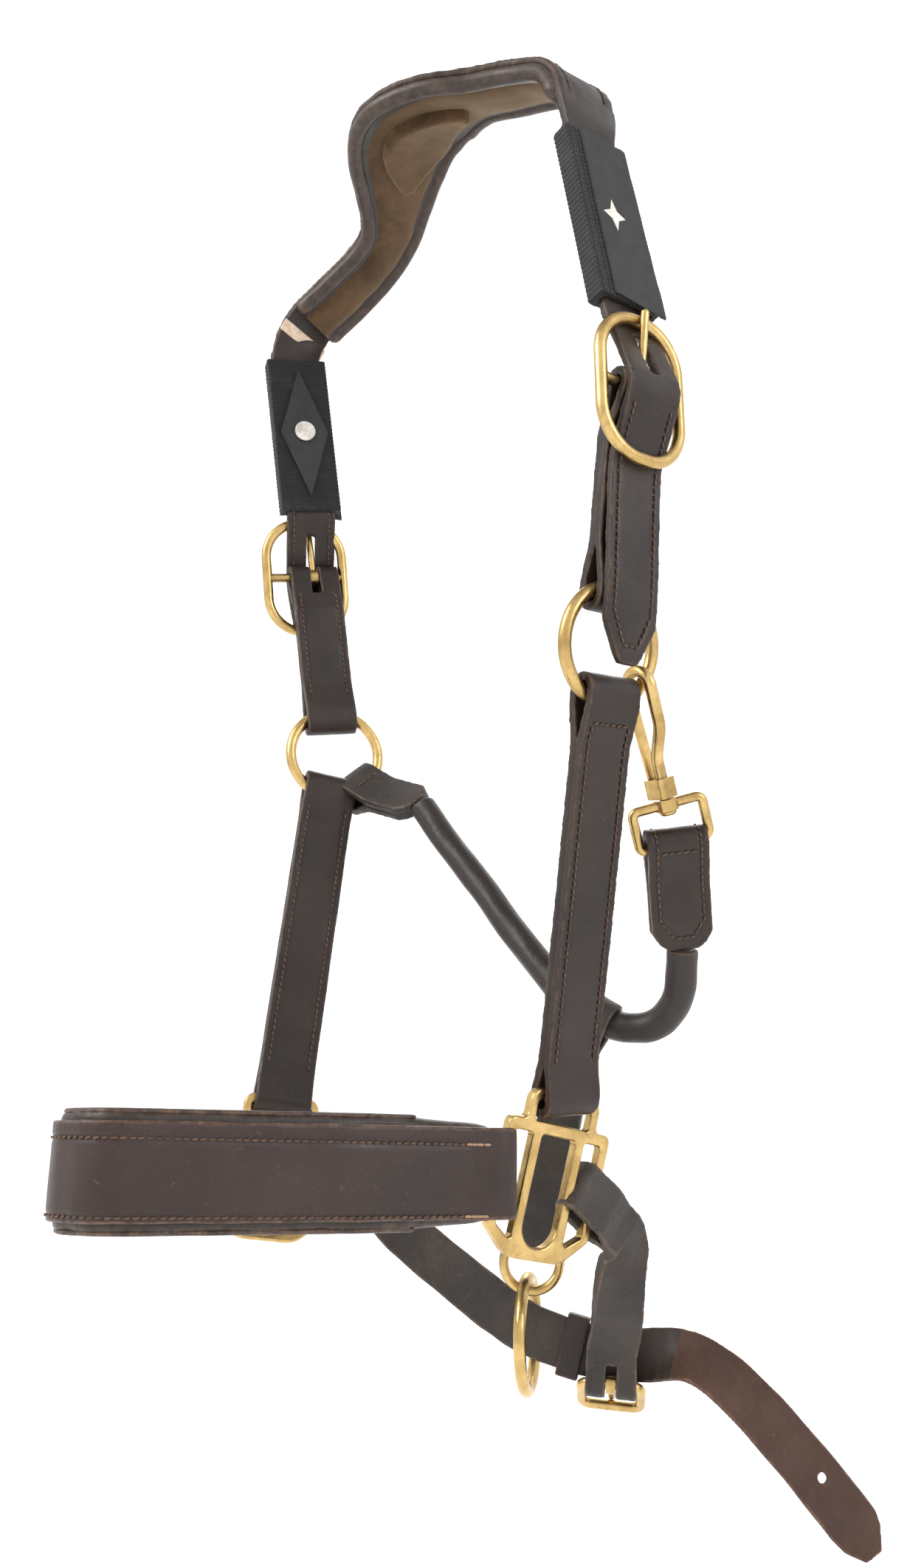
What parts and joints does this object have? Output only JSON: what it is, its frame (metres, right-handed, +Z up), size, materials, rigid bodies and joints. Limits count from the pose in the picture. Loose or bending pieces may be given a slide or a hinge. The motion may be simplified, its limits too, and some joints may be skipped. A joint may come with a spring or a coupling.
{
  "type": "leather headcollar",
  "caption": "Leather headcollar with padded crown and noseband, rolled throat with a snap hook, brass rings and buckles, and a chin strap with a lead ring.",
  "frame": {"origin": "on the underside of the poll pad at its middle, where the crown rests when it hangs", "axes": "+Z up, -Y towards the nose, +X towards the horse's near (left) side"},
  "size_m": [0.2667, 0.2795, 0.636],
  "materials": {
    "oiled_leather": "waxed brown bridle leather",
    "grey_leather": "dull grey-brown leather",
    "suede_lining": "soft matt tan lining leather",
    "padding": "soft foam inside the lining",
    "brass": "polished, lightly tarnished",
    "black_webbing": "ribbed woven webbing",
    "sleeve_cover": "smooth dark synthetic leather",
    "rubber_plate": "matt with a raised rim",
    "pearl_stud": "pearly",
    "emblem_print": "raised pale print",
    "cream_band": "cream binding with a smear of old glue",
    "core_cord": "twisted cord inside the roll"
  },
  "bodies": {
    "root": {"near_buckle_strap": "oiled_leather", "near_buckle_frame": "brass", "near_billet": "oiled_leather", "near_sleeve_web": "black_webbing", "near_sleeve_cover": "sleeve_cover", "near_sleeve_emblem": "emblem_print", "near_sleeve_plate": "rubber_plate", "near_sleeve_stud": "pearl_stud", "near_cheekpiece": "oiled_leather", "near_square": "brass", "off_buckle_strap": "oiled_leather", "off_buckle_frame": "brass", "off_billet": "oiled_leather", "off_cheekpiece": "oiled_leather", "off_square": "brass", "noseband_outer": "oiled_leather", "noseband_padding": "padding", "noseband_lining": "suede_lining", "crown_strap": "oiled_leather", "crown_padding": "padding", "crown_lining": "suede_lining", "poll_pad": "suede_lining", "crown_band": "cream_band", "throat_roll": "oiled_leather", "throat_core": "core_cord", "throat_off_tab": "oiled_leather", "throat_near_tab": "oiled_leather", "snap_eye": "brass", "connecting_strap": "grey_leather", "dee_ring": "brass", "chin_strap": "grey_leather", "chin_buckle_frame": "brass", "chin_chape": "grey_leather"},
    "near_ring": {"near_cheek_ring": "brass"},
    "off_ring": {"off_cheek_ring": "brass"},
    "near_tongue": {"near_buckle_tongue": "brass"},
    "off_tongue": {"off_buckle_tongue": "brass"},
    "chin_tongue": {"chin_buckle_tongue": "brass"},
    "hook": {"snap_hook": "brass"},
    "gate": {"snap_gate": "brass"},
    "off_sleeve": {"off_sleeve_web": "black_webbing", "off_sleeve_cover": "sleeve_cover", "off_sleeve_emblem": "emblem_print", "off_sleeve_plate": "rubber_plate", "off_sleeve_stud": "pearl_stud"},
    "lead_ring": {"lead_ring": "brass"},
    "keeper": {"chin_keeper": "grey_leather"}
  },
  "joints": [
    {"name": "near_ring_turn", "type": "hinge", "parent": "root", "child": "near_ring", "pos_m": [0.10618, 0.00466, -0.2731], "axis": [0.9715, -0.1111, -0.2093], "continuous": true},
    {"name": "off_ring_turn", "type": "hinge", "parent": "root", "child": "off_ring", "pos_m": [-0.09982, 0.03366, -0.2751], "axis": [-0.8945, 0.4341, -0.1072], "continuous": true},
    {"name": "lead_ring_swing", "type": "hinge", "parent": "root", "child": "lead_ring", "pos_m": [0.01506, 0.05075, -0.5198], "axis": [0.8192, 0.5736, 0], "range_deg": [-8, 8]},
    {"name": "near_tongue_lift", "type": "hinge", "parent": "root", "child": "near_tongue", "pos_m": [0.12869, -0.00033, -0.17772], "axis": [-0.1218, -0.9923, -0.0231], "range_deg": [-8, 0]},
    {"name": "off_tongue_lift", "type": "hinge", "parent": "root", "child": "off_tongue", "pos_m": [-0.11361, 0.02755, -0.17813], "axis": [0.4353, 0.8925, 0.1182], "range_deg": [-8, 0]},
    {"name": "chin_tongue_lift", "type": "hinge", "parent": "root", "child": "chin_tongue", "pos_m": [0.04243, 0.07012, -0.55458], "axis": [-0.7833, -0.6175, 0.0711], "range_deg": [-4, 0]},
    {"name": "hook_swivel", "type": "hinge", "parent": "root", "child": "hook", "pos_m": [0.10218, 0.04166, -0.3291], "axis": [0.0704, -0.3978, 0.9148], "range_deg": [-6, 6]},
    {"name": "gate_open", "type": "hinge", "parent": "hook", "child": "gate", "pos_m": [0.09851, 0.0396, -0.32184], "axis": [0.2319, 0.8984, 0.3729], "range_deg": [0, 13], "stiffness_Nm_per_rad": 0.02, "springref_deg": -5.73},
    {"name": "off_sleeve_slide", "type": "slide", "parent": "root", "child": "off_sleeve", "axis": [-0.0793, -0.0927, 0.9925], "range_m": [0, 0.0035]},
    {"name": "keeper_slide", "type": "slide", "parent": "root", "child": "keeper", "axis": [0.7782, 0.5773, -0.2474], "range_m": [-0.003, 0]}
  ]
}
